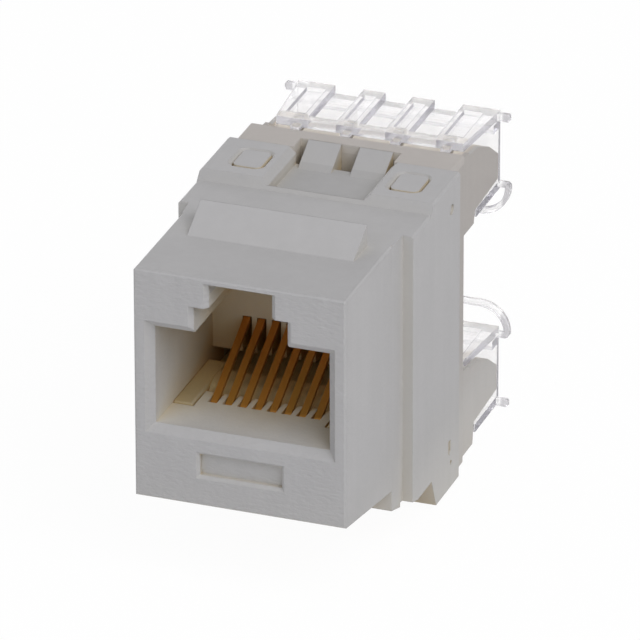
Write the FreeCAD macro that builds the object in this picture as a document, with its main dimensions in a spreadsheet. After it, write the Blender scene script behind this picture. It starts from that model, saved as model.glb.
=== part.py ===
import FreeCAD, Part
import math
import os
import Sketcher
from types import SimpleNamespace

# Frame: x to the right, y from the front face to the back, z up, in millimetres.
# The origin is the middle of the lower edge of the front face.

COLLAR_SIZES = (
    ("face_half_width", 7.22, "half the width of the front face"),
    ("face_height", 16.2, "height of the front face"),
    ("collar_front", 8.8, "depth at which the lower collar starts"),
    ("underside_drop", 1.5, "how far the underside has sloped down at the collar"),
    ("collar_front_drop", 2.95, "lower edge of the collar at its front"),
    ("collar_rear_drop", 3.45, "lower edge of the collar at the shoulder"),
    ("shoulder_depth", 10.45, "depth of the stop shoulder"),
    ("collar_flare", 0.14, "how much wider the collar is at the shoulder"),
    ("edge_bevel", 0.12, "bevel along the outer edges of the front"),
    ("wedge_front", 5.66, "front of the top catch"),
    ("wedge_rear", 8.29, "upright rear of the top catch"),
    ("wedge_height", 17.67, "height of the top catch"),
    ("wedge_half_width", 5.7, "half the width of the top catch"),
    ("panel_half_width", 2.8, "half the width of the shallow panel in the face"),
    ("panel_low", 2.1, "lower edge of that panel"),
    ("panel_high", 3.6, "upper edge of that panel"),
    ("panel_depth", 0.5, "depth of that panel"),
    ("panel_rim", 0.2, "bevel round that panel"),
)
SLEEVE_SIZES = (
    ("sleeve_half_width", 8.08, "half the width of the rear sleeve"),
    ("sleeve_rear", 19.6, "rear end of the sleeve"),
    ("sleeve_keel_start", 11.45, "depth where the underside turns level"),
    ("sleeve_front_drop", 2.95, "underside of the sleeve at the shoulder"),
    ("sleeve_keel_drop", 3.25, "underside of the sleeve further back"),
    ("foot_front", 14.2, "depth where the foot starts"),
    ("foot_toe", 15.1, "front of the level foot"),
    ("foot_drop", 5.4, "underside of the foot"),
    ("plate_ramp_start", 13.9, "depth where the top ramps up"),
    ("plate_start", 14.5, "depth where the top is at full height"),
    ("plate_height", 16.8, "height of the raised top plates"),
    ("sleeve_edge_bevel", 0.15, "bevel along the top edges of the sleeve"),
    ("sleeve_wall", 0.58, "wall of the sleeve at both sides"),
    ("roof_drop", 1.9, "how far the inner roof is below the plates"),
    ("cavity_drop", 4.7, "floor inside the sleeve"),
    ("board_seat", 15.7, "depth at which the board is seated"),
    ("relief_front", 14.9, "front of the hollow before the board"),
    ("relief_margin", 0.8, "width of the rim the board rests on"),
    ("core_margin", 1.1, "how much narrower the hollow above the contacts is"),
    ("core_front", 12.4, "front of that hollow"),
    ("core_floor", 9.6, "floor of that hollow"),
    ("core_roof_drop", 2.3, "how far its roof is below the plates"),
    ("trough_front", 14.15, "front of the trough in the top"),
    ("trough_drop", 1.2, "depth of the trough"),
    ("trough_bevel", 0.45, "bevel along both sides of the trough"),
    ("tongue_inner", 0.65, "inner side of each sloping tongue"),
    ("tongue_margin", 0.35, "gap between the tongues and the sides of the trough"),
    ("tongue_foot", 18.9, "depth where a tongue starts to rise"),
    ("tongue_end", 21.0, "rear end of a tongue"),
    ("tongue_sheet", 1.85, "thickness of a tongue at its rear end"),
    ("latch_margin", 1.0, "from the inner wall of the sleeve to a latch window"),
    ("latch_width", 2.1, "width of a latch window"),
    ("latch_bridge", 1.1, "from a latch window to the trough"),
    ("latch_front", 15.7, "front of each latch window"),
    ("latch_rear", 18.3, "rear of each latch window"),
    ("latch_radius", 0.5, "corner radius of each latch window"),
    ("latch_rim", 0.25, "bevel round each latch window"),
    ("dimple_depth_at", 18.0, "how far back the round side marks are"),
    ("dimple_height", 14.8, "height of the upper side mark"),
    ("dimple_radius", 0.37, "radius of the upper side mark"),
    ("pinhole_drop", 3.6, "how far below the face edge the lower side mark is"),
    ("pinhole_radius", 0.16, "radius of the lower side mark"),
    ("drop_mark_depth_at", 17.7, "how far back the long side mark is"),
    ("drop_mark_high", 1.9, "upper end of the long side mark, downwards"),
    ("drop_mark_low", 3.0, "lower end of the long side mark, downwards"),
    ("drop_mark_half", 0.25, "half the width of the long side mark"),
    ("mark_depth", 0.15, "depth of the side marks"),
)
PORT_SIZES = (
    ("port_half_width", 5.95, "half the width of the plug opening"),
    ("port_floor", 5.2, "floor of the plug opening"),
    ("port_roof", 12.1, "roof of the plug opening"),
    ("port_depth", 10.96, "depth of the plug opening"),
    ("step_half_width", 3.2, "half the width of the first latch step"),
    ("step_roof", 14.1, "roof of the first latch step"),
    ("notch_half_width", 2.15, "half the width of the latch notch"),
    ("notch_roof", 15.85, "roof of the latch notch"),
    ("mouth_bevel", 0.55, "bevel round the mouth"),
    ("step_bevel", 0.3, "bevel at the sides of the latch steps"),
    ("comb_half_width", 4.5, "half the width of the comb"),
    ("comb_underside", 4.3, "underside of the comb"),
    ("comb_slot_front", 4.4, "front of the comb slots"),
    ("tooth_shoulder", 5.6, "where the teeth of the comb start to taper"),
    ("tooth_tip", 5.85, "tip of the teeth"),
    ("tooth_tip_width", 0.24, "width left at the tip of a tooth"),
    ("slot_width", 0.64, "width of the slots for the contacts"),
    ("bay_floor", 2.2, "floor of the bay for the contact carrier"),
    ("bay_front", 3.5, "front of the bay at both sides of the comb"),
    ("bend_room_front", 3.9, "front of the room under the comb"),
    ("wall_edge", 5.83, "lower edge of the back wall"),
    ("wall_slot_top", 8.4, "top of the slots in the back wall"),
    ("wall_slot_rear", 14.2, "depth of the slots in the back wall"),
)
CARRIER_SIZES = (
    ("carrier_gap", 0.05, "gap between the carrier and the sides of its bay"),
    ("carrier_rear", 15.6, "rear end of the carrier"),
    ("carrier_slab_top", 4.2, "top of the carrier slab"),
    ("cross_block_front", 6.15, "front of the cross block"),
    ("cross_block_rear", 9.6, "rear of the cross block"),
    ("cross_block_top", 5.5, "top of the cross block"),
    ("cross_block_radius", 1.2, "rounding of the cross block"),
    ("ledge_inner", 4.6, "inner side of the side ledges"),
    ("ledge_front", 3.6, "front of the side ledges"),
    ("ledge_rear", 10.1, "rear of the side ledges"),
    ("ledge_top", 5.28, "top of the side ledges"),
    ("ledge_radius", 0.2, "rounding of the side ledges"),
)
CONTACT_SIZES = (
    ("contact_pitch", 1.016, "distance between contacts"),
    ("contact_width", 0.46, "width of a contact"),
    ("contact_thickness", 0.3, "thickness of a contact"),
    ("contact_low", 2.7, "underside of the lower run"),
    ("contact_front", 4.56, "front of the bend"),
    ("contact_corner", 4.92, "height where the bend turns into the arm"),
    ("contact_tip", 11.0, "rear end of the arm"),
    ("contact_tip_height", 8.36, "top of the arm at its rear end"),
    ("contact_tail", 17.7, "rear end of the lower run"),
    ("contact_bend", 0.42, "inner radius of the bends"),
)
BOARD_SIZES = (
    ("board_thickness", 1.6, "thickness of the circuit board"),
    ("board_margin", 0.3, "gap between the board and the walls of the sleeve"),
    ("board_top_drop", 3.1, "how far its top edge is below the plates"),
    ("board_drop", 4.3, "lower edge of the board"),
    ("contact_hole_radius", 0.38, "holes for the contact tails"),
    ("blade_hole_radius", 0.46, "holes for the blade tails"),
)
BLOCK_SIZES = (
    ("block_inset", 0.61, "how far the block is set in from the sleeve"),
    ("block_rear", 22.12, "rear face of the block plate"),
    ("block_drop", 5.8, "lower edge of the block plate"),
    ("block_edge_radius", 0.2, "rounding of the block plate"),
    ("fit_gap", 0.15, "gap between the block skirt and the sleeve"),
    ("skirt_wall", 0.75, "wall of the block skirt"),
    ("gate_margin", 0.2, "how much wider the gap for the tongues is than the trough"),
    ("gate_rear", 21.05, "rear of that gap"),
    ("gate_drop", 2.4, "depth of that gap"),
    ("boss_set_back", 0.03, "how far the latch bosses are below the plates"),
    ("boss_gap", 0.03, "narrow gap round a latch boss"),
    ("boss_radius", 0.4, "corner radius of a latch boss"),
    ("arm_gap", 0.1, "gap between the latch arms and the board"),
    ("row_inset", 0.36, "how much narrower the tower rows are than the block"),
    ("row_wall", 0.31, "thickness of the raised end walls of a row"),
    ("row_middle_drop", 0.75, "drop of the tower tops between the end walls"),
    ("upper_row_drop", 0.6, "how far the top of the upper row is below the plates"),
    ("lower_row_top", 0.6, "top of the lower row"),
    ("row_crest", 24.1, "depth where a row first drops"),
    ("row_crest_drop", 0.15, "drop at the crest"),
    ("row_seat", 24.5, "depth where the cap rests on a row"),
    ("row_seat_drop", 0.45, "drop at the cap seat"),
    ("row_brow", 26.0, "depth where a row starts to slope"),
    ("row_brow_drop", 0.55, "drop at the start of the slope"),
    ("row_slope_end", 28.2, "depth of the knee in the slope"),
    ("row_slope_drop", 1.5, "drop at the knee"),
    ("row_tip", 30.05, "rear end of the towers"),
    ("row_tip_drop", 2.8, "upper corner of the tip"),
    ("row_tip_low_drop", 4.6, "lower corner of the tip"),
    ("row_throat", 25.4, "depth where the underside steps down"),
    ("row_throat_drop", 4.87, "underside of the towers"),
    ("row_root", 25.15, "depth of the thicker root"),
    ("upper_root_drop", 5.75, "underside of the root, upper row"),
    ("lower_root_drop", 6.4, "underside of the root, lower row"),
)
WIRE_SIZES = (
    ("wire_margin", 1.86, "from the middle of the last wire slot to the end of a row"),
    ("wire_slot_width", 0.9, "width of a wire slot"),
    ("wire_slot_floor", 23.4, "depth of the bottom of a wire slot"),
    ("flare_start", 28.4, "where the slot mouth starts to widen"),
    ("flare_width", 2.1, "width of the slot mouth at the tip"),
    ("blade_half_width", 1.1, "half the width of a terminal blade"),
    ("blade_thickness", 0.4, "thickness of a blade"),
    ("blade_gap", 0.03, "gap round a blade in its pocket"),
    ("blade_foot", 20.0, "front end of the wide part of a blade"),
    ("blade_shoulder", 27.9, "where the blade tips start"),
    ("blade_tip", 28.3, "rear end of a blade"),
    ("blade_pocket_end", 28.5, "rear end of a blade pocket"),
    ("blade_drop", 3.7, "how far below the top of a row its blades are"),
    ("fork_half_gap", 0.14, "half the gap of the fork"),
    ("fork_floor", 22.9, "bottom of the fork"),
    ("fork_mouth", 27.5, "where the fork opens"),
    ("tail_half_width", 0.3, "half the width of a blade tail"),
    ("tail_end", 15.3, "front end of a blade tail"),
)
CAP_SIZES = (
    ("upper_cap_rise", 0.2, "how far the ribs of the upper cap are above its row"),
    ("lower_cap_top", 0.5, "top of the ribs of the lower cap"),
    ("cap_front", 24.6, "front edge of a cap"),
    ("cap_inset", 0.01, "how much narrower a cap is than its row"),
    ("cap_taper", 0.54, "how much a cap narrows towards its front"),
    ("cap_sheet", 0.6, "thickness of the ribs and flanges"),
    ("cap_front_rail", 0.65, "depth of the front rail"),
    ("cap_rail_front", 29.1, "front of the rear rail"),
    ("cap_plate_front", 30.1, "front of the rear plate"),
    ("cap_plate_rear", 30.45, "rear of the rear plate"),
    ("cap_height", 5.1, "from the top of the ribs to the lower flange"),
    ("cap_flange_front", 25.7, "front edge of the lower flange"),
    ("rib_inner", 0.95, "inner side of the middle ribs"),
    ("rib_outer", 2.5, "outer side of the middle ribs"),
    ("end_rib_inner", 4.5, "inner side of the end ribs"),
    ("groove_edge", 0.36, "wall beside a rib groove"),
    ("groove_depth", 0.3, "depth of a rib groove"),
    ("groove_front", 25.6, "front end of a rib groove"),
    ("groove_rear", 29.6, "rear end of a rib groove"),
    ("finger_half_width", 0.32, "half the width of the wire fingers"),
    ("finger_drop", 0.9, "how far the wire fingers reach down"),
    ("finger_rear", 25.6, "rear of the wire fingers"),
    ("strap_bow", 0.87, "how far the strap stands out from the cap"),
    ("strap_sheet", 0.35, "thickness of the strap"),
    ("strap_front", 29.95, "front of the strap"),
    ("strap_reach", 2.45, "how far the strap reaches inwards"),
    ("strap_rear", 30.45, "rear of the strap"),
    ("strap_radius", 2.1, "outer radius of the strap bends"),
    ("strap_stub", 0.3, "thickness of the stub that carries the strap"),
    ("strap_corner_radius", 0.3, "radius of the strap's outer corners"),
    ("lug_length", 0.85, "how far the lugs stand out from the cap"),
    ("lug_height", 0.5, "height of a lug"),
    ("lug_front", 29.95, "front of a lug"),
    ("lug_rear", 30.35, "rear of a lug"),
    ("lug_bevel", 0.12, "bevel round the end of a lug"),
)

CONTACTS = 8
WIRES_PER_ROW = 4
TOUCH = 1e-4
PLANES = {"side": "YZ_Plane", "front": "XZ_Plane", "top": "XY_Plane"}


class Size:
    """A length: its number now and the sheet formula that gives it."""

    def __init__(self, number, formula):
        self.number = number
        self.formula = formula

    def __add__(self, other):
        other = as_size(other)
        return Size(self.number + other.number, f"({self.formula} + {other.formula})")

    def __sub__(self, other):
        other = as_size(other)
        return Size(self.number - other.number, f"({self.formula} - {other.formula})")

    def __mul__(self, other):
        other = as_size(other)
        return Size(self.number * other.number, f"{self.formula} * {other.formula}")

    def __truediv__(self, other):
        other = as_size(other)
        return Size(self.number / other.number, f"{self.formula} / {other.formula}")

    def __neg__(self):
        return Size(-self.number, f"(0 - {self.formula})")


def as_size(value):
    if isinstance(value, Size):
        return value
    return Size(float(value), f"({float(value)})")


def square_root(value):
    return Size(math.sqrt(value.number), f"sqrt({value.formula})")


# The sheet of sizes
doc = FreeCAD.newDocument("socket_insert")
sheet = doc.addObject("Spreadsheet::Sheet", "sizes")
named = {}
row = 1
for group in (COLLAR_SIZES, SLEEVE_SIZES, PORT_SIZES, CARRIER_SIZES, CONTACT_SIZES,
              BOARD_SIZES, BLOCK_SIZES, WIRE_SIZES, CAP_SIZES):
    for name, value, meaning in group:
        sheet.set(f"A{row}", name)
        sheet.set(f"B{row}", str(value))
        sheet.set(f"C{row}", meaning)
        sheet.setAlias(f"B{row}", name)
        named[name] = Size(value, f"sizes.{name}")
        row += 1
doc.recompute()
size = SimpleNamespace(**named)

# Sizes that follow from others
size.cavity_half_width = size.sleeve_half_width - size.sleeve_wall
size.core_half_width = size.cavity_half_width - size.core_margin
size.latch_outer = size.cavity_half_width - size.latch_margin
size.latch_inner = size.latch_outer - size.latch_width
size.trough_half_width = size.latch_inner - size.latch_bridge
size.tongue_outer = size.trough_half_width - size.tongue_margin
size.gate_half_width = size.trough_half_width + size.gate_margin
size.carrier_half_width = size.port_half_width - size.carrier_gap
size.cavity_roof = size.plate_height - size.roof_drop
size.core_roof = size.plate_height - size.core_roof_drop
size.trough_floor = size.plate_height - size.trough_drop
size.tongue_underside = size.plate_height - size.tongue_sheet
size.gate_floor = size.plate_height - size.gate_drop
size.boss_top = size.plate_height - size.boss_set_back
size.board_half_width = size.cavity_half_width - size.board_margin
size.board_top = size.plate_height - size.board_top_drop
size.block_half_width = size.sleeve_half_width - size.block_inset
size.row_half_width = size.block_half_width - size.row_inset
size.wire_pitch = (size.row_half_width - size.wire_margin) / ((WIRES_PER_ROW - 1) / 2)
size.upper_row_top = size.plate_height - size.upper_row_drop
size.upper_cap_top = size.upper_row_top + size.upper_cap_rise
size.cap_half_width = size.row_half_width - size.cap_inset
size.cap_front_half_width = size.cap_half_width - size.cap_taper
size.strap_half_width = size.cap_half_width + size.strap_bow
size.lug_reach = size.cap_half_width + size.lug_length


# Tools for bodies made of padded and pocketed outlines
def new_body(name):
    body = doc.addObject("PartDesign::Body", name)
    body.Label = name
    return body


def outline(sketch, corners):
    """One closed outline, every corner tied to the sheet."""
    corners = [(as_size(u), as_size(v)) for u, v in corners]
    first = sketch.GeometryCount
    count = len(corners)
    points = [FreeCAD.Vector(u.number, v.number, 0) for u, v in corners]
    sketch.addGeometry([Part.LineSegment(points[i], points[(i + 1) % count])
                        for i in range(count)])
    sketch.addConstraint([Sketcher.Constraint("Coincident", first + i, 2,
                                              first + (i + 1) % count, 1)
                          for i in range(count)])
    for i, (u, v) in enumerate(corners):
        for kind, length in (("DistanceX", u), ("DistanceY", v)):
            index = sketch.addConstraint(
                Sketcher.Constraint(kind, -1, 1, first + i, 1, length.number))
            sketch.setExpression(f"Constraints[{index}]", length.formula)


def circle(sketch, centre, radius):
    """One circle, its centre and radius tied to the sheet."""
    u, v = (as_size(value) for value in centre)
    middle = FreeCAD.Vector(u.number, v.number, 0)
    round_edge = Part.Circle(middle, FreeCAD.Vector(0, 0, 1), radius.number)
    curve = sketch.addGeometry(round_edge)
    for kind, length in (("DistanceX", u), ("DistanceY", v)):
        index = sketch.addConstraint(
            Sketcher.Constraint(kind, -1, 1, curve, 3, length.number))
        sketch.setExpression(f"Constraints[{index}]", length.formula)
    index = sketch.addConstraint(Sketcher.Constraint("Radius", curve, radius.number))
    sketch.setExpression(f"Constraints[{index}]", radius.formula)


def box(low_u, high_u, low_v, high_v):
    """Corners of a rectangle."""
    return [(low_u, low_v), (high_u, low_v), (high_u, high_v), (low_u, high_v)]


def mirrored(corners):
    """The same corners on the other side of the middle."""
    return [(-as_size(u), v) for u, v in corners]


def extrude(kind, body, name, plane, span, outlines=(), circles=()):
    """Pad or pocket outlines drawn half way between the two ends of a span."""
    start, end = (as_size(value) for value in span)
    sketch = body.newObject("Sketcher::SketchObject", f"{name}_outline")
    base = next(f for f in body.Origin.OriginFeatures if f.Role == PLANES[plane])
    sketch.AttachmentSupport = [(base, "")]
    sketch.MapMode = "FlatFace"
    middle = (start + end) / 2
    if plane == "front":
        middle = -middle
    sketch.setExpression("AttachmentOffset.Base.z", middle.formula)
    for corners in outlines:
        outline(sketch, corners)
    for centre, radius in circles:
        circle(sketch, centre, radius)
    feature = body.newObject(f"PartDesign::{kind}", name)
    feature.Profile = sketch
    feature.SideType = "Symmetric"
    feature.setExpression("Length", (end - start).formula)
    doc.recompute()
    return feature


def add(*args, **kwargs):
    return extrude("Pad", *args, **kwargs)


def cut(*args, **kwargs):
    return extrude("Pocket", *args, **kwargs)


def lies_at(edge, **where):
    """Whether an edge keeps to the given x, y or z values along its whole length."""
    bounds = edge.BoundBox
    spans = {"x": (bounds.XMin, bounds.XMax), "y": (bounds.YMin, bounds.YMax),
             "z": (bounds.ZMin, bounds.ZMax)}
    return all(abs(limit - as_size(value).number) < TOUCH
               for axis, value in where.items() for limit in spans[axis])


def dress(kind, body, name, amount, places):
    """Round or bevel the edges that lie at one of the places."""
    source = body.Tip
    names = [f"Edge{number}" for number, edge in enumerate(source.Shape.Edges, 1)
             if any(lies_at(edge, **place) for place in places)]
    feature = body.newObject(f"PartDesign::{kind}", name)
    feature.Base = (source, names)
    feature.setExpression("Radius" if kind == "Fillet" else "Size", amount.formula)
    doc.recompute()
    return feature


def both(value):
    return (value, -value)


def contact_offset(number):
    """How far a contact is from the middle plane."""
    return size.contact_pitch * (number - (CONTACTS - 1) / 2)


def wire_offset(number):
    """How far a wire slot is from the middle plane."""
    return size.wire_pitch * (number - (WIRES_PER_ROW - 1) / 2)


CONTACT_PLACES = [contact_offset(number) for number in range(CONTACTS)]
WIRE_PLACES = [wire_offset(number) for number in range(WIRES_PER_ROW)]


def at_each(places, half_width, low, high):
    """The same rectangle round each of the places."""
    return [box(place - half_width, place + half_width, low, high) for place in places]


def make_housing():
    """Front collar, stop shoulder, rear sleeve and the stepped plug opening."""
    body = new_body("jack_housing")
    wide = size.sleeve_half_width
    add(body, "front_block", "side", both(-size.face_half_width), outlines=[[
        (0, 0), (0, size.face_height), (size.shoulder_depth, size.face_height),
        (size.shoulder_depth, -size.collar_rear_drop),
        (size.collar_front, -size.collar_front_drop),
        (size.collar_front, -size.underside_drop)]])
    add(body, "sleeve", "side", both(-wide), outlines=[[
        (size.shoulder_depth, -size.sleeve_front_drop),
        (size.sleeve_keel_start, -size.sleeve_keel_drop),
        (size.foot_front, -size.sleeve_keel_drop),
        (size.foot_toe, -size.foot_drop), (size.sleeve_rear, -size.foot_drop),
        (size.sleeve_rear, size.plate_height), (size.plate_start, size.plate_height),
        (size.plate_ramp_start, size.face_height),
        (size.shoulder_depth, size.face_height)]])
    dress("Chamfer", body, "sleeve_edges", size.sleeve_edge_bevel,
          [{"x": side, "z": size.plate_height} for side in both(wide)]
          + [{"x": side, "z": size.face_height} for side in both(wide)])
    dress("Chamfer", body, "front_edges", size.edge_bevel,
          [{"x": side, "y": 0} for side in both(size.face_half_width)]
          + [{"x": side, "z": size.face_height} for side in both(size.face_half_width)]
          + [{"y": 0, "z": height} for height in (0, size.face_height)])
    add(body, "catch_wedge", "side", both(-size.wedge_half_width), outlines=[[
        (size.wedge_front, size.face_height), (size.wedge_rear, size.wedge_height),
        (size.wedge_rear, size.face_height)]])
    flare = [(size.face_half_width - size.sleeve_wall, size.collar_front),
             (size.face_half_width, size.collar_front),
             (size.face_half_width + size.collar_flare, size.shoulder_depth),
             (size.face_half_width - size.sleeve_wall, size.shoulder_depth)]
    add(body, "collar_flares", "top", (-size.collar_front_drop, size.face_height),
        outlines=[flare, mirrored(flare)])
    hollow_housing(body)
    open_port(body)
    shape_sleeve_top(body)
    mark_sides(body)
    return body


def hollow_housing(body):
    """The room for the board, the block skirt and the contact carrier."""
    margin = size.relief_margin
    cut(body, "sleeve_room", "front", (size.board_seat, size.sleeve_rear), outlines=[
        box(-size.cavity_half_width, size.cavity_half_width,
            -size.cavity_drop, size.cavity_roof)])
    cut(body, "board_relief", "front", (size.relief_front, size.board_seat), outlines=[
        box(margin - size.cavity_half_width, size.cavity_half_width - margin,
            margin - size.cavity_drop, size.core_roof)])
    cut(body, "core", "front", (size.core_front, size.relief_front), outlines=[
        box(-size.core_half_width, size.core_half_width,
            size.core_floor, size.core_roof)])
    cut(body, "carrier_bay", "front", (size.tooth_tip, size.board_seat), outlines=[
        box(-size.port_half_width, size.port_half_width,
            size.bay_floor, size.wall_edge)])
    cut(body, "ledge_bays", "top", (size.bay_floor, size.wall_edge), outlines=[
        box(low, high, size.bay_front, size.tooth_tip) for low, high in (
            (-size.port_half_width, -size.comb_half_width),
            (size.comb_half_width, size.port_half_width))])
    cut(body, "bend_room", "side", both(-size.comb_half_width), outlines=[
        box(size.bend_room_front, size.tooth_tip, size.bay_floor, size.comb_underside)])


def open_port(body):
    """The stepped plug opening, its mouth, the comb and the slotted back wall."""
    wide, step, notch = size.port_half_width, size.step_half_width, size.notch_half_width
    cut(body, "port", "front", (0, size.port_depth), outlines=[[
        (-wide, size.port_floor), (wide, size.port_floor), (wide, size.port_roof),
        (step, size.port_roof), (step, size.step_roof), (notch, size.step_roof),
        (notch, size.notch_roof), (-notch, size.notch_roof), (-notch, size.step_roof),
        (-step, size.step_roof), (-step, size.port_roof), (-wide, size.port_roof)]])
    dress("Chamfer", body, "mouth", size.mouth_bevel,
          [{"x": side, "y": 0} for side in both(wide)]
          + [{"y": 0, "z": height} for height in (size.port_floor, size.port_roof)])
    bevel = size.step_bevel
    for name, half, low, high in (("step_sides", step, size.port_roof, size.step_roof),
                                  ("notch_sides", notch, size.step_roof, size.notch_roof)):
        cut(body, name, "top", (low, high), outlines=[[
            (-half - bevel, 0), (half + bevel, 0), (half, bevel), (-half, bevel)]])
    half_slot = size.slot_width / 2
    half_tooth_gap = (size.contact_pitch - size.tooth_tip_width) / 2
    cut(body, "comb_slots", "top", (size.comb_underside, size.wall_edge), outlines=[[
        (place - half_slot, size.comb_slot_front),
        (place + half_slot, size.comb_slot_front),
        (place + half_slot, size.tooth_shoulder),
        (place + half_tooth_gap, size.tooth_tip),
        (place - half_tooth_gap, size.tooth_tip),
        (place - half_slot, size.tooth_shoulder)] for place in CONTACT_PLACES])
    cut(body, "wall_slots", "front", (size.port_depth, size.wall_slot_rear),
        outlines=at_each(CONTACT_PLACES, half_slot, size.port_floor, size.wall_slot_top))
    cut(body, "panel", "front", (0, size.panel_depth), outlines=[
        box(-size.panel_half_width, size.panel_half_width,
            size.panel_low, size.panel_high)])
    dress("Chamfer", body, "panel_edges", size.panel_rim,
          [{"x": side, "y": 0} for side in both(size.panel_half_width)]
          + [{"y": 0, "z": height} for height in (size.panel_low, size.panel_high)])


def shape_sleeve_top(body):
    """The trough between the plates, its two tongues and the latch windows."""
    over = size.plate_height + size.wall_edge
    cut(body, "trough", "top", (size.trough_floor, over), outlines=[
        box(-size.trough_half_width, size.trough_half_width,
            size.trough_front, size.tongue_end)])
    half, high, bevel = size.trough_half_width, size.plate_height, size.trough_bevel
    rim = [(half, high - bevel), (half + bevel * 2, high + bevel), (half, high + bevel)]
    cut(body, "trough_rims", "front", (size.trough_front, size.sleeve_rear),
        outlines=[rim, mirrored(rim)])
    for name, low, high in (("left_tongue", -size.tongue_outer, -size.tongue_inner),
                            ("right_tongue", size.tongue_inner, size.tongue_outer)):
        add(body, name, "side", (low, high), outlines=[[
            (size.tongue_foot, size.trough_floor), (size.tongue_end, size.plate_height),
            (size.tongue_end, size.tongue_underside),
            (size.tongue_foot, size.tongue_underside)]])
    window = box(size.latch_inner, size.latch_outer, size.latch_front, size.latch_rear)
    cut(body, "latch_windows", "top", (size.cavity_roof, over),
        outlines=[window, mirrored(window)])
    sides = both(size.latch_inner) + both(size.latch_outer)
    ends = (size.latch_front, size.latch_rear)
    dress("Fillet", body, "window_corners", size.latch_radius,
          [{"x": side, "y": end} for side in sides for end in ends])
    dress("Chamfer", body, "window_rims", size.latch_rim,
          [{"x": side, "z": size.plate_height} for side in sides])


def mark_sides(body):
    """Shallow marks low and high on both sides of the sleeve."""
    wide = size.sleeve_half_width
    low, high = -size.drop_mark_low, -size.drop_mark_high
    middle, half = size.drop_mark_depth_at, size.drop_mark_half
    long_mark = [(middle - half, high), (middle + half, high), (middle + half, low + half),
                 (middle, low), (middle - half, low + half)]
    for name, span in (("right_marks", (wide - size.mark_depth, wide)),
                       ("left_marks", (-wide, size.mark_depth - wide))):
        cut(body, name, "side", span, outlines=[long_mark], circles=[
            ((size.dimple_depth_at, size.dimple_height), size.dimple_radius),
            ((size.dimple_depth_at, -size.pinhole_drop), size.pinhole_radius)])


def make_carrier():
    """Slab under the contacts, with a cross block and two side ledges."""
    body = new_body("contact_carrier")
    wide = size.carrier_half_width
    add(body, "slab", "side", both(-wide), outlines=[
        box(size.cross_block_front, size.carrier_rear,
            size.bay_floor, size.carrier_slab_top)])
    add(body, "cross_block", "side", both(-size.comb_half_width), outlines=[
        box(size.cross_block_front, size.cross_block_rear,
            size.bay_floor, size.cross_block_top)])
    dress("Fillet", body, "cross_block_edges", size.cross_block_radius,
          [{"y": end, "z": size.cross_block_top}
           for end in (size.cross_block_front, size.cross_block_rear)])
    ledge = box(size.ledge_inner, wide, size.ledge_front, size.ledge_rear)
    add(body, "ledges", "top", (size.bay_floor, size.ledge_top),
        outlines=[ledge, mirrored(ledge)])
    dress("Fillet", body, "ledge_edges", size.ledge_radius,
          [{"x": side, "z": size.ledge_top} for side in both(size.ledge_inner)]
          + [{"y": size.ledge_front, "z": size.ledge_top}])
    cut(body, "contact_grooves", "front", (size.cross_block_front, size.carrier_rear),
        outlines=at_each(CONTACT_PLACES, size.slot_width / 2, size.bay_floor,
                         size.contact_low + size.contact_thickness))
    return body


def make_contact(number):
    """A flat strip: lower run to the board, a bend up, and the sprung arm."""
    body = new_body(f"contact_{number + 1}")
    thick, front, corner = size.contact_thickness, size.contact_front, size.contact_corner
    arm_top = size.contact_tip_height
    rise = (arm_top - corner) / (size.contact_tip - front)
    upright = thick * square_root(rise * rise + 1)
    inner_corner = corner + thick * rise - upright
    lower_top = size.contact_low + thick
    half = size.contact_width / 2
    add(body, "strip", "side", both(-half), outlines=[[
        (size.contact_tail, size.contact_low), (front, size.contact_low),
        (front, corner), (size.contact_tip, arm_top),
        (size.contact_tip, arm_top - upright), (front + thick, inner_corner),
        (front + thick, lower_top), (size.contact_tail, lower_top)]])
    dress("Fillet", body, "inner_bends", size.contact_bend,
          [{"y": front + thick, "z": height} for height in (inner_corner, lower_top)])
    dress("Fillet", body, "outer_bends", size.contact_bend + thick,
          [{"y": front, "z": height} for height in (corner, size.contact_low)])
    body.setExpression("Placement.Base.x", contact_offset(number).formula)
    return body


def make_board():
    """Upright circuit board with a hole for every tail."""
    body = new_body("circuit_board")
    span = (size.board_seat, size.board_seat + size.board_thickness)
    add(body, "laminate", "front", span, outlines=[
        box(-size.board_half_width, size.board_half_width,
            -size.board_drop, size.board_top)])
    tail_height = size.contact_low + size.contact_thickness / 2
    holes = [((place, tail_height), size.contact_hole_radius) for place in CONTACT_PLACES]
    for top in (size.upper_row_top, size.lower_row_top):
        holes += [((place, top - size.blade_drop), size.blade_hole_radius)
                  for place in WIRE_PLACES]
    cut(body, "tail_holes", "front", span, circles=holes)
    return body


def tower_outline(top, root_drop):
    """Side outline of one row of towers."""
    return [(size.block_rear, top),
            (size.row_crest, top - size.row_crest_drop),
            (size.row_seat, top - size.row_seat_drop),
            (size.row_brow, top - size.row_brow_drop),
            (size.row_slope_end, top - size.row_slope_drop),
            (size.row_tip, top - size.row_tip_drop),
            (size.row_tip, top - size.row_tip_low_drop),
            (size.row_throat, top - size.row_throat_drop),
            (size.row_root, top - root_drop),
            (size.block_rear, top - root_drop)]


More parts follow.
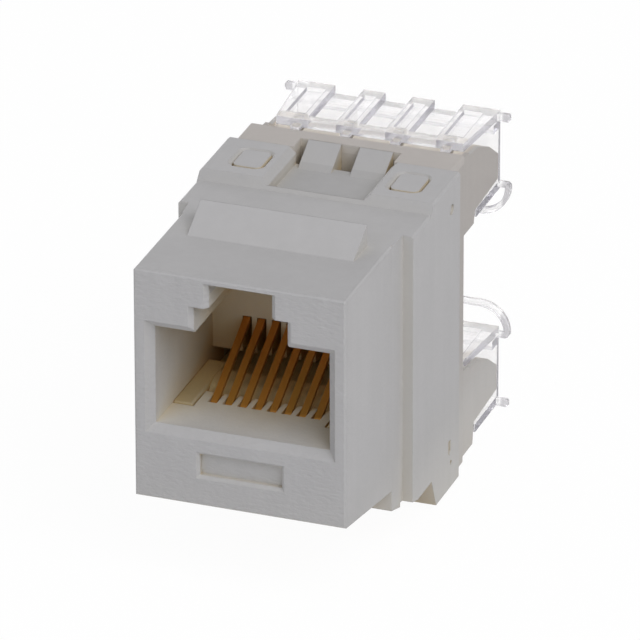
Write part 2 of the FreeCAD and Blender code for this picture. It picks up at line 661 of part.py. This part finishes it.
def make_terminal_block():
    """Plate with two rows of towers, a skirt in the sleeve and two latch arms."""
    body = new_body("terminal_block")
    wide, top, board_rear = (size.block_half_width, size.plate_height,
                             size.board_seat + size.board_thickness)
    add(body, "plate", "front", (size.sleeve_rear, size.block_rear), outlines=[
        box(-wide, wide, -size.block_drop, top)])
    dress("Fillet", body, "plate_edges", size.block_edge_radius,
          [{"x": side, "z": top} for side in both(wide)]
          + [{"x": side, "z": -size.block_drop} for side in both(wide)])
    add(body, "upper_row", "side", both(-size.row_half_width),
        outlines=[tower_outline(size.upper_row_top, size.upper_root_drop)])
    add(body, "lower_row", "side", both(-size.row_half_width),
        outlines=[tower_outline(size.lower_row_top, size.lower_root_drop)])
    for name, top in (("upper_row_seat", size.upper_row_top),
                      ("lower_row_seat", size.lower_row_top)):
        between = size.row_half_width - size.row_wall
        cut(body, name, "top", (top - size.row_middle_drop, top),
            outlines=[box(-between, between, size.block_rear, size.row_slope_end)])
    gap, wall, close = size.fit_gap, size.skirt_wall, size.boss_gap
    side, low, high = (size.cavity_half_width - gap, gap - size.cavity_drop,
                       size.cavity_roof - gap)
    add(body, "skirt", "front", (board_rear, size.sleeve_rear), outlines=[
        box(-side, side, low, high),
        box(wall - side, side - wall, low + wall, high - wall)])
    right = (size.latch_inner + gap, size.latch_outer - close)
    left = (gap - size.latch_outer, -size.latch_inner - close)
    front, rear = size.latch_front + close, size.latch_rear - close
    for name, span in (("right_latch", right), ("left_latch", left)):
        add(body, name, "side", span, outlines=[[
            (front, size.board_top + size.arm_gap),
            (size.sleeve_rear, size.board_top + size.arm_gap),
            (size.sleeve_rear, high), (rear, high),
            (rear, size.boss_top), (front, size.boss_top)]])
    dress("Fillet", body, "boss_corners", size.boss_radius,
          [{"x": side, "y": end} for side in right + left for end in (front, rear)])
    cut_terminal_block(body)
    return body


def cut_terminal_block(body):
    """The gap for the tongues, the wire slots and the blade pockets."""
    cut(body, "tongue_gate", "top", (size.gate_floor, size.plate_height), outlines=[
        box(-size.gate_half_width, size.gate_half_width,
            size.sleeve_rear, size.gate_rear)])
    half, flare = size.wire_slot_width / 2, size.flare_width / 2
    cut(body, "wire_slots", "top", (-size.block_drop, size.upper_row_top), outlines=[[
        (place - half, size.wire_slot_floor), (place + half, size.wire_slot_floor),
        (place + half, size.flare_start), (place + flare, size.row_tip),
        (place - flare, size.row_tip), (place - half, size.flare_start)]
        for place in WIRE_PLACES])
    pocket = size.blade_half_width + size.blade_gap
    half_height = size.blade_thickness / 2 + size.blade_gap
    for name, top in (("upper_blade_pockets", size.upper_row_top),
                      ("lower_blade_pockets", size.lower_row_top)):
        centre = top - size.blade_drop
        cut(body, name, "top", (centre - half_height, centre + half_height),
            outlines=at_each(WIRE_PLACES, pocket, size.sleeve_rear,
                             size.blade_pocket_end))


def make_blade(number):
    """Forked terminal blade with a tail through the board."""
    body = new_body(f"idc_terminal_{number + 1}")
    wide, gap, tail = size.blade_half_width, size.fork_half_gap, size.tail_half_width
    half = size.blade_thickness / 2
    right = [(tail, size.tail_end), (tail, size.blade_foot), (wide, size.blade_foot),
             (wide, size.blade_shoulder), ((wide + gap) / 2, size.blade_tip),
             (gap, size.fork_mouth), (gap, size.fork_floor)]
    add(body, "fork", "top", both(-half),
        outlines=[right + mirrored(right)[::-1]])
    top = (size.upper_row_top, size.lower_row_top)[number // WIRES_PER_ROW]
    body.setExpression("Placement.Base.x", wire_offset(number % WIRES_PER_ROW).formula)
    body.setExpression("Placement.Base.z", (top - size.blade_drop).formula)
    return body


def make_cap(name, top, strap_below):
    """Clear cap hooked over a row, with ribs, wire fingers and a side strap."""
    body = new_body(name)
    sheet_top, rear = top - size.cap_sheet, size.cap_plate_rear
    flange_top = top - size.cap_height
    flange_low = flange_top - size.cap_sheet
    wide, narrow = size.cap_half_width, size.cap_front_half_width
    add(body, "rear_plate", "front", (size.cap_plate_front, rear), outlines=[
        box(-wide, wide, flange_low, sheet_top)])
    add(body, "rear_rail", "side", both(-wide), outlines=[
        box(size.cap_rail_front, rear, sheet_top - size.cap_sheet, sheet_top)])
    middle_rib = box(size.rib_inner, size.rib_outer, size.cap_front, rear)
    end_rib = [(size.end_rib_inner, size.cap_front), (narrow, size.cap_front),
               (wide, rear), (size.end_rib_inner, rear)]
    add(body, "ribs", "top", (sheet_top, top), outlines=[
        middle_rib, mirrored(middle_rib), end_rib, mirrored(end_rib)])
    add(body, "front_rail", "top", (sheet_top, top), outlines=[
        box(-narrow, narrow, size.cap_front, size.cap_front + size.cap_front_rail)])
    add(body, "lower_flange", "top", (flange_low, flange_top), outlines=[
        box(-wide, wide, size.cap_flange_front, rear)])
    edge = size.groove_edge
    grooves = [box(low + edge, high - edge, size.groove_front, size.groove_rear)
               for low, high in ((size.rib_inner, size.rib_outer),
                                 (size.end_rib_inner, narrow))]
    cut(body, "rib_grooves", "top", (top - size.groove_depth, top),
        outlines=grooves + [mirrored(groove) for groove in grooves])
    add(body, "wire_fingers", "top", (top - size.finger_drop, sheet_top),
        outlines=at_each(WIRE_PLACES, size.finger_half_width,
                         size.cap_front, size.finger_rear))
    add_lugs(body, sheet_top if strap_below else flange_low)
    stub, reach, near = (size.strap_stub, size.strap_reach,
                         size.strap_reach - size.strap_sheet)
    if strap_below:
        add_strap(body, flange_top, flange_top - stub, flange_top - reach, flange_top - near)
    else:
        add_strap(body, sheet_top, sheet_top + stub, sheet_top + reach, sheet_top + near)
    return body


def add_lugs(body, low):
    """A bevelled lug at each rear corner."""
    high = low + size.lug_height
    for name, span in (("right_lug", (size.cap_half_width - size.cap_sheet, size.lug_reach)),
                       ("left_lug", (-size.lug_reach, size.cap_sheet - size.cap_half_width))):
        add(body, name, "side", span,
            outlines=[box(size.lug_front, size.lug_rear, low, high)])
    dress("Chamfer", body, "lug_ends", size.lug_bevel,
          [{"x": side, "z": height} for side in both(size.lug_reach)
           for height in (low, high)]
          + [{"x": side, "y": depth} for side in both(size.lug_reach)
             for depth in (size.lug_front, size.lug_rear)])


def add_strap(body, start, turn, far, near):
    """A bowed strap from one rear corner to the other."""
    outer, thick = size.strap_half_width, size.strap_sheet
    inner, join = outer - thick, size.cap_half_width - thick
    right = [(outer, far), (outer, start), (join, start), (join, turn),
             (inner, turn), (inner, near)]
    add(body, "strap", "front", (size.strap_front, size.strap_rear),
        outlines=[right + mirrored(right)[::-1]])
    dress("Fillet", body, "strap_bends", size.strap_radius,
          [{"x": side, "z": far} for side in both(outer)])
    dress("Fillet", body, "strap_inner_bends", size.strap_radius - thick,
          [{"x": side, "z": near} for side in both(inner)])
    dress("Fillet", body, "strap_corners", size.strap_corner_radius,
          [{"x": side, "z": start} for side in both(outer)])


# Every separate piece
bodies = [make_housing(), make_carrier()]
bodies += [make_contact(number) for number in range(CONTACTS)]
bodies += [make_board(), make_terminal_block()]
bodies += [make_blade(number) for number in range(2 * WIRES_PER_ROW)]
bodies += [make_cap("wire_cap_upper", size.upper_cap_top, True),
           make_cap("wire_cap_lower", size.lower_cap_top, False)]
doc.recompute()

# Every object is sound before anything is written
for item in doc.Objects:
    if "Invalid" in item.State or "Error" in item.State:
        raise RuntimeError(f"{item.Name} did not compute: {item.State}")
for body in bodies:
    if body.Shape.isNull() or not body.Shape.isValid() or len(body.Shape.Solids) != 1:
        raise RuntimeError(f"{body.Label} is not one sound solid")

# One file for each piece
os.makedirs("parts", exist_ok=True)
for body in bodies:
    body.Shape.exportStep(f"parts/{body.Label}.step")
    bounds = body.Shape.BoundBox
    print(f"{body.Label}: {body.Shape.Volume:.2f} mm3, x {bounds.XMin:.2f} {bounds.XMax:.2f},"
          f" y {bounds.YMin:.2f} {bounds.YMax:.2f}, z {bounds.ZMin:.2f} {bounds.ZMax:.2f}")
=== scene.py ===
# %% [markdown]
# # An ethernet socket insert
#
# The frame comes from the CAD model. It holds every rigid piece of the insert
# at its real size and place: the grey housing with its stepped plug opening,
# the eight sprung contacts on their carrier, the circuit board, the block with
# its two rows of towers, the forked blades and the two clear wire caps.
# Nothing here moves or resizes those pieces. This lesson gives them their
# finishes and sets the light and the camera. All lengths are in metres.

# %% The frame
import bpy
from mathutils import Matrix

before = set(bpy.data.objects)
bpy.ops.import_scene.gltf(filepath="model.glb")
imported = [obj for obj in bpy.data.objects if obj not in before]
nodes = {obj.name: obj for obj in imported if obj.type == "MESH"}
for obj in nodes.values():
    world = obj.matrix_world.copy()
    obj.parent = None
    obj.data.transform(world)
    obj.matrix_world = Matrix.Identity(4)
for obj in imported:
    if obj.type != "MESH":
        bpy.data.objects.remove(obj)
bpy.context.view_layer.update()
print(len(nodes), "pieces in the frame")

# %% [markdown]
# ## The camera
#
# The photograph looks at the insert from the front, a little to its right and
# from above. A long lens far away keeps the edges nearly parallel. The three
# angles turn into the camera's own axes: right, up and back. The camera stands
# on the line that runs back from the spot it aims at.

# %% The camera
import bpy
import math
from mathutils import Matrix, Vector

scene = bpy.context.scene
bpy.ops.object.select_all(action="DESELECT")
yaw, pitch, roll = math.radians(20.067), math.radians(25.973), math.radians(-0.101)
aim = Vector((0.005498, 0, 0.014637))
distance = 0.593006
back = Vector((math.sin(yaw) * math.cos(pitch), -math.cos(yaw) * math.cos(pitch),
               math.sin(pitch)))
right = Vector((math.cos(yaw), math.sin(yaw), 0))
up = back.cross(right)
turned_right = right * math.cos(roll) + up * math.sin(roll)
turned_up = up * math.cos(roll) - right * math.sin(roll)
camera_data = bpy.data.cameras.new("camera")
camera_data.sensor_width = 36
camera_data.lens = 525.3
camera_data.clip_start = 0.05
camera_data.clip_end = 20
camera = bpy.data.objects.new("camera", camera_data)
scene.collection.objects.link(camera)
axes = Matrix((turned_right, turned_up, back)).transposed()
camera.matrix_world = Matrix.Translation(aim + back * distance) @ axes.to_4x4()
scene.camera = camera
print("camera", round(distance, 3), "m from the insert")

# %% [markdown]
# ## Feeding a node
#
# A node's input takes either a value of its own or the output of another node.
# One small function does both: a number or a tone is set on the socket, and an
# output is linked to it. Sums, products and comparisons are math nodes, and two
# shaders are mixed by a share. The world, the floor and every finish use these.

# %% Feeding a node
def feed(tree, value, socket):
    if isinstance(value, (int, float)):
        socket.default_value = value
    elif isinstance(value, tuple):
        socket.default_value = (*value, 1)
    else:
        tree.links.new(value, socket)


def maths(tree, operation, *values):
    node = tree.nodes.new("ShaderNodeMath")
    node.operation = operation
    for value, socket in zip(values, node.inputs):
        feed(tree, value, socket)
    return node.outputs[0]


def mixed(tree, share, one, other):
    node = tree.nodes.new("ShaderNodeMixShader")
    for value, socket in zip((share, one.outputs[0], other.outputs[0]), node.inputs):
        feed(tree, value, socket)
    return node


# %% [markdown]
# ## The studio
#
# The insert was photographed in a white studio with light from all round. The
# world gives that even light. Rays from the camera, rays that a shiny surface
# sends back and rays through clear plastic see the white backdrop itself. A
# light path node tells these three kinds apart from the rest.

# %% The world
WHITE = (1, 1, 1)
EVEN_LIGHT = 0.48
BACKDROP_LIGHT = 1.0


def backdrop_rays(tree):
    path = tree.nodes.new("ShaderNodeLightPath")
    sent_on = maths(tree, "MAXIMUM", path.outputs["Is Glossy Ray"],
                    path.outputs["Is Transmission Ray"])
    return maths(tree, "MAXIMUM", path.outputs["Is Camera Ray"], sent_on)


def white_light(tree, kind, strength):
    node = tree.nodes.new(kind)
    feed(tree, WHITE, node.inputs["Color"])
    feed(tree, strength, node.inputs["Strength"])
    return node


scene.view_settings.view_transform = "Standard"
world = bpy.data.worlds.new("white studio")
scene.world = world
world.use_nodes = True
tree = world.node_tree
tree.nodes.clear()
studio = mixed(tree, backdrop_rays(tree),
               white_light(tree, "ShaderNodeBackground", EVEN_LIGHT),
               white_light(tree, "ShaderNodeBackground", BACKDROP_LIGHT))
out = tree.nodes.new("ShaderNodeOutputWorld")
feed(tree, studio.outputs[0], out.inputs["Surface"])
print("even light at", EVEN_LIGHT, "and the backdrop at", BACKDROP_LIGHT)

# %% [markdown]
# A lamp is an area light aimed at the insert, and its size sets how soft its
# shadow is. The broad key lamp stands to the right, in front and above, so the
# front, the side and the top get the same share of it. It also reaches into
# the plug opening. A weak bluish lamp in front, on the left, cools the face a
# little. The third lamp is low behind the insert on the left, and lights the
# block and the caps from there.

# %% The lamps
INSERT_MIDDLE = Vector((0, 0.014, 0.006))


def lamp(name, place, size, power, tint):
    data = bpy.data.lights.new(name, "AREA")
    data.shape = "DISK"
    data.size = size
    data.energy = power
    data.color = tint
    body = bpy.data.objects.new(name, data)
    scene.collection.objects.link(body)
    body.location = place
    direction = INSERT_MIDDLE - body.location
    body.rotation_euler = direction.to_track_quat("-Z", "Y").to_euler()
    print(name, round(direction.length, 2), "m away,", power, "W")


lamp("key lamp", (0.325, -0.220, 0.430), size=0.45, power=2.30, tint=WHITE)
lamp("front lamp", (-0.24, -0.44, 0.24), size=0.30, power=0.25, tint=(0.86, 0.91, 1))
lamp("rear lamp", (-0.40, 0.30, 0.05), size=0.40, power=1.0, tint=WHITE)

# %% [markdown]
# ## The floor
#
# A plain white sheet lies under the insert and reflects light onto its
# underside. The camera sees the sheet nearly as white as the backdrop, with
# only a trace of the insert's shadow, as the photo was lit. So most of what the
# camera gets from it is a glow, and the rest is the lit sheet.

# %% The floor
SHEET_HEIGHT = -0.006
SHEET_TONE = (0.9, 0.9, 0.9)
GLOW_SHARE = 0.96

bpy.ops.object.select_all(action="DESELECT")
bpy.ops.mesh.primitive_plane_add(size=6, location=(0, 0, SHEET_HEIGHT))
floor = bpy.context.object
floor.name = "floor"
floor_finish = bpy.data.materials.new("white sheet")
floor_finish.use_nodes = True
tree = floor_finish.node_tree
tree.nodes.clear()
lit_sheet = tree.nodes.new("ShaderNodeBsdfDiffuse")
feed(tree, SHEET_TONE, lit_sheet.inputs["Color"])
glow = white_light(tree, "ShaderNodeEmission", BACKDROP_LIGHT)
sheet = mixed(tree, maths(tree, "MULTIPLY", backdrop_rays(tree), GLOW_SHARE),
              lit_sheet, glow)
out = tree.nodes.new("ShaderNodeOutputMaterial")
feed(tree, sheet.outputs[0], out.inputs["Surface"])
floor.data.materials.append(floor_finish)
print("the floor lies", -SHEET_HEIGHT, "m under the face's lower edge")

# %% [markdown]
# ## The makings of a finish
#
# Most finishes are made of the same few things: a noise, a change of range, a
# blend of two tones, and a stretch that turns a round noise into lines. They
# read Object coordinates in metres, so a pattern has its real size and stays on
# its piece.

# %% The makings of a finish
def new_finish(name):
    finish = bpy.data.materials.new(name)
    finish.use_nodes = True
    tree = finish.node_tree
    place = tree.nodes.new("ShaderNodeTexCoord").outputs["Object"]
    return finish, tree, tree.nodes["Principled BSDF"], place


def stretched(tree, place, scale):
    node = tree.nodes.new("ShaderNodeMapping")
    node.inputs["Scale"].default_value = scale
    feed(tree, place, node.inputs["Vector"])
    return node.outputs["Vector"]


def noise(tree, place, scale, detail):
    node = tree.nodes.new("ShaderNodeTexNoise")
    for value, name in ((place, "Vector"), (scale, "Scale"), (detail, "Detail")):
        feed(tree, value, node.inputs[name])
    return node.outputs["Fac"]


def between(tree, value, low, high, start=0, end=1):
    node = tree.nodes.new("ShaderNodeMapRange")
    for number, name in ((value, "Value"), (start, "From Min"), (end, "From Max"),
                         (low, "To Min"), (high, "To Max")):
        feed(tree, number, node.inputs[name])
    return node.outputs["Result"]


def blend(tree, factor, one, other, kind="MIX"):
    node = tree.nodes.new("ShaderNodeMix")
    node.data_type = "RGBA"
    node.blend_type = kind
    for value, name in ((factor, "Factor"), (one, "A"), (other, "B")):
        feed(tree, value, node.inputs[name])
    return node.outputs["Result"]


# %% [markdown]
# ## A box on a piece
#
# The painted light and shade on one moulding can differ from place to place. A
# box in the piece's own coordinates marks such a place. It has a middle and a
# reach to each side, and a compare node on each axis tells whether a spot lies
# in that reach. The product of the three is one inside the box and nought
# outside it. A patch of painted light or shade is a box with one tone at its
# front and another at its rear, where a tone of one leaves the plastic as it is.

# %% A box on a piece
def parts_of(tree, place):
    node = tree.nodes.new("ShaderNodeSeparateXYZ")
    feed(tree, place, node.inputs[0])
    return node.outputs


def within(tree, place, box):
    across, along, above = [maths(tree, "COMPARE", part, middle, reach)
                            for part, middle, reach in zip(parts_of(tree, place), *box)]
    return maths(tree, "MULTIPLY", maths(tree, "MULTIPLY", across, along), above)


# A patch of painted light or painted shade scales the tone inside its box.
def painted_shading_patch(tree, place, box, front_tone, rear_tone):
    middle, reach = box
    front, rear = middle[1] - reach[1], middle[1] + reach[1]
    change = between(tree, parts_of(tree, place)["Y"], front_tone - 1, rear_tone - 1,
                     front, rear)
    return maths(tree, "ADD", 1, maths(tree, "MULTIPLY", within(tree, place, box), change))


# %% [markdown]
# ## The tone of moulded plastic
#
# The tone carries painted light and shade. An ambient occlusion node tells how
# open a spot is, from nought to one, and a colour ramp turns that into a painted
# tone: warmer and paler in corners and hollows, as light bounced between walls,
# down to a golden brown glow in the narrowest gaps. One box, the hollow, can have
# a ramp of its own.
# Faint upright streaks and soft clouds make the tone wander by a percent or
# two, and the patches make it lighter or darker where the photo's light did.

# %% The tone of moulded plastic
SHELTER_DISTANCE = 0.010
SHELTER_SAMPLES = 8
STREAKS_SCALE = (1100, 1100, 60)
CLOUDS_SCALE = 260


def ramped(tree, value, stops):
    ramp = tree.nodes.new("ShaderNodeValToRGB")
    ends = ramp.color_ramp.elements
    for end, (position, tone) in ((ends[0], stops[0]), (ends[1], stops[-1])):
        end.position = position
        end.color = (*tone, 1)
    for position, tone in stops[1:-1]:
        ends.new(position).color = (*tone, 1)
    feed(tree, value, ramp.inputs["Fac"])
    return ramp.outputs["Color"]


def plastic_tone_with_painted_light(tree, place, stops, hollow, painted_shading_patches):
    shelter = tree.nodes.new("ShaderNodeAmbientOcclusion")
    shelter.samples = SHELTER_SAMPLES
    feed(tree, SHELTER_DISTANCE, shelter.inputs["Distance"])
    openness = shelter.outputs["AO"]
    # Painted light and shade: the ramp turns how open a spot is into a painted tone.
    tone = ramped(tree, openness, stops)
    if hollow:
        box, hollow_stops = hollow
        tone = blend(tree, within(tree, place, box), tone,
                     ramped(tree, openness, hollow_stops))
    streaks = noise(tree, stretched(tree, place, STREAKS_SCALE), 1, 1)
    clouds = noise(tree, place, CLOUDS_SCALE, 3)
    drift_and_painted_shading = maths(tree, "MULTIPLY", between(tree, streaks, 0.97, 1.03),
                  between(tree, clouds, 0.96, 1.04))
    # The random drift is multiplied by the patches of painted light and painted shade.
    for painted_patch in painted_shading_patches:
        drift_and_painted_shading = maths(tree, "MULTIPLY", drift_and_painted_shading, painted_shading_patch(tree, place, *painted_patch))
    return blend(tree, 1, tone, drift_and_painted_shading, "MULTIPLY")


# %% [markdown]
# ## The skin of moulded plastic
#
# The mould was spark eroded, which leaves a fine grain on the front face and a
# fainter one on the rest. A noise makes the grain, through a bump node, and the
# same noise makes the gloss uneven. A bevel node bends the normals at every
# edge, so that no edge looks knife sharp.

# %% The skin of moulded plastic
GRAIN_SCALE = (2200, 3000, 4200)
GRAIN_STRENGTH = 0.6
GRAIN_BEHIND_FACE = 0.25
FACE_SKIN = (0.0004, 0.0009)
ROUGHNESS_SWING = 0.08
EDGE_SAMPLES = 6


def moulded_plastic(name, stops, roughness, grain_height, soft_edge,
                    hollow=None, painted_shading_patches=()):
    finish, tree, shader, place = new_finish(name)
    shader.inputs["IOR"].default_value = 1.5
    shader.inputs["Specular IOR Level"].default_value = 0.25
    feed(tree, plastic_tone_with_painted_light(tree, place, stops, hollow, painted_shading_patches),
         shader.inputs["Base Color"])
    grain = noise(tree, stretched(tree, place, GRAIN_SCALE), 1, 5)
    feed(tree, between(tree, grain, roughness - ROUGHNESS_SWING,
                       roughness + ROUGHNESS_SWING), shader.inputs["Roughness"])
    edge = tree.nodes.new("ShaderNodeBevel")
    edge.samples = EDGE_SAMPLES
    feed(tree, soft_edge, edge.inputs["Radius"])
    on_face = between(tree, parts_of(tree, place)["Y"], 1, GRAIN_BEHIND_FACE, *FACE_SKIN)
    bump = tree.nodes.new("ShaderNodeBump")
    for value, socket in ((GRAIN_STRENGTH, "Strength"), (grain_height, "Distance"),
                          (maths(tree, "MULTIPLY", grain, on_face), "Height"),
                          (edge.outputs["Normal"], "Normal")):
        feed(tree, value, bump.inputs[socket])
    feed(tree, bump.outputs["Normal"], shader.inputs["Normal"])
    return finish


def give(finish, *names):
    for name in names:
        for slot in nodes[name].material_slots:
            slot.material = finish
    print(finish.name, "on", len(names), "pieces")


# %% [markdown]
# ## The housing
#
# The housing is one moulding in a matt, slightly lavender grey. Inside the plug
# opening the walls pass light to each other, and the ramp there paints that light
# in, so the painted warm tones reach further out than on the rest. The floor of
# the trough on top and the top in front of the catch are a little darker in the
# photo, and the catch is a little lighter. Patches of painted shade and painted
# light put that into the tone.

# %% The housing
GREY = (0.376, 0.370, 0.376)
# Painted light and shade by openness; GREY, at the open end, is the housing's own colour.
housing_shading_stops = [(0.04, (0.60, 0.45, 0.24)), (0.18, (0.47, 0.41, 0.32)),
                 (0.40, (0.45, 0.43, 0.40)), (0.62, (0.445, 0.435, 0.425)),
                 (0.84, (0.37, 0.363, 0.363)), (0.97, GREY)]
opening_shading_stops = [(0.04, (0.52, 0.29, 0.09)), (0.16, (0.62, 0.46, 0.25)),
                 (0.32, (0.54, 0.465, 0.335)), (0.52, (0.55, 0.53, 0.49)), (0.78, GREY)]
plug_opening = ((0, 0.0064, 0.0092), (0.0063, 0.0066, 0.0058))
# Painted shade on the trough floor and the collar top, painted light on the catch.
shade_on_trough_floor = ((0, 0.0165, 0.0156), (0.0050, 0.0045, 0.0003))
shade_on_collar_top = ((0, 0.0052, 0.0162), (0.0074, 0.0052, 0.00002))
light_on_top_catch = ((0, 0.0050, 0.0173), (0.0074, 0.0040, 0.00106))
housing_plastic = moulded_plastic(
    "grained grey plastic", housing_shading_stops, roughness=0.55, grain_height=0.00012,
    soft_edge=0.00008, hollow=(plug_opening, opening_shading_stops),
    painted_shading_patches=[(shade_on_trough_floor, 0.88, 0.93), (shade_on_collar_top, 0.93, 1.0), (light_on_top_catch, 1.06, 1.06)])
give(housing_plastic, "jack_housing")

# %% [markdown]
# ## The block and the carrier
#
# The block is a smoother plastic in a warmer grey, and a patch of painted light
# makes the band on its top in front of the towers lighter. Its two latch bosses
# show in the housing's windows with the housing's grey and a cream outline, which
# is painted light in the narrow gaps around them. The carrier under the contacts
# is a cream plastic, and its ramp paints an amber glow of bounced light deep
# inside.

# %% The block and the carrier
# Painted light and shade by openness; the last stop is the block's own warm grey.
block_shading_stops = [(0.05, (0.50, 0.46, 0.40)), (0.40, (0.45, 0.42, 0.39)),
               (0.75, (0.42, 0.41, 0.40)), (0.92, (0.352, 0.328, 0.313))]
# The bosses' ramp paints a cream outline of light in their gaps.
boss_shading_stops = [(0.05, (0.60, 0.50, 0.34)), (0.40, (0.52, 0.47, 0.38)),
              (0.80, (0.40, 0.39, 0.38)), (0.97, GREY)]
latch_bosses = ((0, 0.0150, 0.0168), (0.0075, 0.0035, 0.0012))
# A patch of painted light on the band in front of the towers.
light_on_front_band = ((0, 0.0206, 0.0168), (0.0081, 0.0017, 0.0006))
block_plastic = moulded_plastic(
    "warm grey plastic", block_shading_stops, roughness=0.55, grain_height=0.00003,
    soft_edge=0.00008, hollow=(latch_bosses, boss_shading_stops),
    painted_shading_patches=[(light_on_front_band, 1.12, 1.14)])
# Painted bounce light: the carrier's ramp turns amber deep inside.
carrier_shading_stops = [(0.04, (0.85, 0.60, 0.28)), (0.20, (0.42, 0.31, 0.14)),
                 (0.80, (0.42, 0.38, 0.30))]
carrier_plastic = moulded_plastic("cream plastic", carrier_shading_stops, roughness=0.5,
                                  grain_height=0.00001, soft_edge=0.00010)
give(block_plastic, "terminal_block")
give(carrier_plastic, "contact_carrier")

# %% [markdown]
# ## Metal
#
# The contacts are phosphor bronze under gold plating. The plating is satin, so
# it scatters the light that reaches into the opening. Its tone drifts with a
# slow noise, and a painted reflection of the shaded walls turns it from yellow
# gold at the bend to orange higher up the arm. The blades behind are tinned and
# show the fine lines that rolling leaves along a strip. Their tone is the same
# at every height.

# %% Metal
GLOSS_SWING = 0.05
REFLECTION_SWING = 0.25


def stamped_metal(name, low, high, metallic, roughness, lines, reflection_rise):
    finish, tree, shader, place = new_finish(name)
    shader.inputs["Metallic"].default_value = metallic
    pattern = noise(tree, stretched(tree, place, lines), 1, 2)
    # Painted reflection: the tone shifts with height, for the shaded walls mirrored in the
    # arm.
    painted_reflection = between(tree, parts_of(tree, place)["Z"], -REFLECTION_SWING, REFLECTION_SWING, *reflection_rise)
    drift_and_reflection = maths(tree, "ADD", pattern, painted_reflection)
    drift_and_reflection.node.use_clamp = True
    feed(tree, blend(tree, drift_and_reflection, low, high), shader.inputs["Base Color"])
    feed(tree, between(tree, pattern, roughness - GLOSS_SWING, roughness + GLOSS_SWING),
         shader.inputs["Roughness"])
    return finish


gold_plate = stamped_metal("gold plate", (0.44, 0.23, 0.043), (0.56, 0.19, 0.024),
                           metallic=0.55, roughness=0.38, lines=(900, 260, 260),
                           reflection_rise=(0.0052, 0.0078))
tin_plate = stamped_metal("tin plate", (0.62, 0.60, 0.58), (0.74, 0.72, 0.70),
                          metallic=1.0, roughness=0.32, lines=(9000, 700, 700),
                          reflection_rise=(-1, 1))
give(gold_plate, *[f"contact_{number}" for number in range(1, 9)])
give(tin_plate, *[f"idc_terminal_{number}" for number in range(1, 9)])

# %% [markdown]
# ## The board
#
# The board is green lacquer over glass cloth. A fine wave texture, about three
# waves to a millimetre, shows faintly through the lacquer as the cloth's weave.

# %% The board
WEAVE_SCALE = 900

lacquer, tree, shader, place = new_finish("green lacquer")
shader.inputs["Roughness"].default_value = 0.35
shader.inputs["Coat Weight"].default_value = 0.3
weave = tree.nodes.new("ShaderNodeTexWave")
feed(tree, WEAVE_SCALE, weave.inputs["Scale"])
feed(tree, place, weave.inputs["Vector"])
feed(tree, blend(tree, weave.outputs["Fac"], (0.010, 0.085, 0.030), (0.016, 0.110, 0.042)),
     shader.inputs["Base Color"])
give(lacquer, "circuit_board")

# %% [markdown]
# ## Clear plastic
#
# The wire caps are clear polycarbonate. The white backdrop shows through them,
# and where a surface is seen at a slant a painted lavender grey shade darkens
# it, which draws the edges. A layer weight node gives that slant. The lugs at
# both ends are greyer all over. The photo shows part of the light going
# straight on and part of it scattered, so the bending shader is mixed with a
# little haze and with a plain transparent one. Shadow rays always go straight on.

# %% Clear plastic
FLAT_TINT = (0.99, 0.985, 0.99)
SLANT_SHADE = (0.36, 0.35, 0.40)
LUG_TINT = (0.70, 0.69, 0.71)
SLANT = (0.58, 0.70)
FLOW_SCALE = 900
POLISH = (0.02, 0.06)
SHEET_HALF_WIDTH = 0.0074
HAZE_SHARE = 0.15
STRAIGHT_SHARE = 0.15

clear, tree, shader, place = new_finish("clear plastic")
shader.inputs["Transmission Weight"].default_value = 1.0
shader.inputs["IOR"].default_value = 1.58
flow = noise(tree, place, FLOW_SCALE, 2)
feed(tree, between(tree, flow, *POLISH), shader.inputs["Roughness"])
grazing = tree.nodes.new("ShaderNodeLayerWeight")
feed(tree, 0.5, grazing.inputs["Blend"])
slant = between(tree, grazing.outputs["Facing"], 0, 1, *SLANT)
sheet_only = maths(tree, "COMPARE", parts_of(tree, place)["X"], 0, SHEET_HALF_WIDTH)
# Painted shade: surfaces seen at a slant take the darker slant tone.
tint = blend(tree, sheet_only, LUG_TINT, blend(tree, slant, FLAT_TINT, SLANT_SHADE))
straight = tree.nodes.new("ShaderNodeBsdfTransparent")
haze = tree.nodes.new("ShaderNodeBsdfDiffuse")
for socket in (shader.inputs["Base Color"], straight.inputs["Color"], haze.inputs["Color"]):
    feed(tree, tint, socket)
path = tree.nodes.new("ShaderNodeLightPath")
share = maths(tree, "MAXIMUM", path.outputs["Is Shadow Ray"], STRAIGHT_SHARE)
cap = mixed(tree, share, mixed(tree, HAZE_SHARE, shader, haze), straight)
feed(tree, cap.outputs[0], tree.nodes["Material Output"].inputs["Surface"])
give(clear, "wire_cap_upper", "wire_cap_lower")
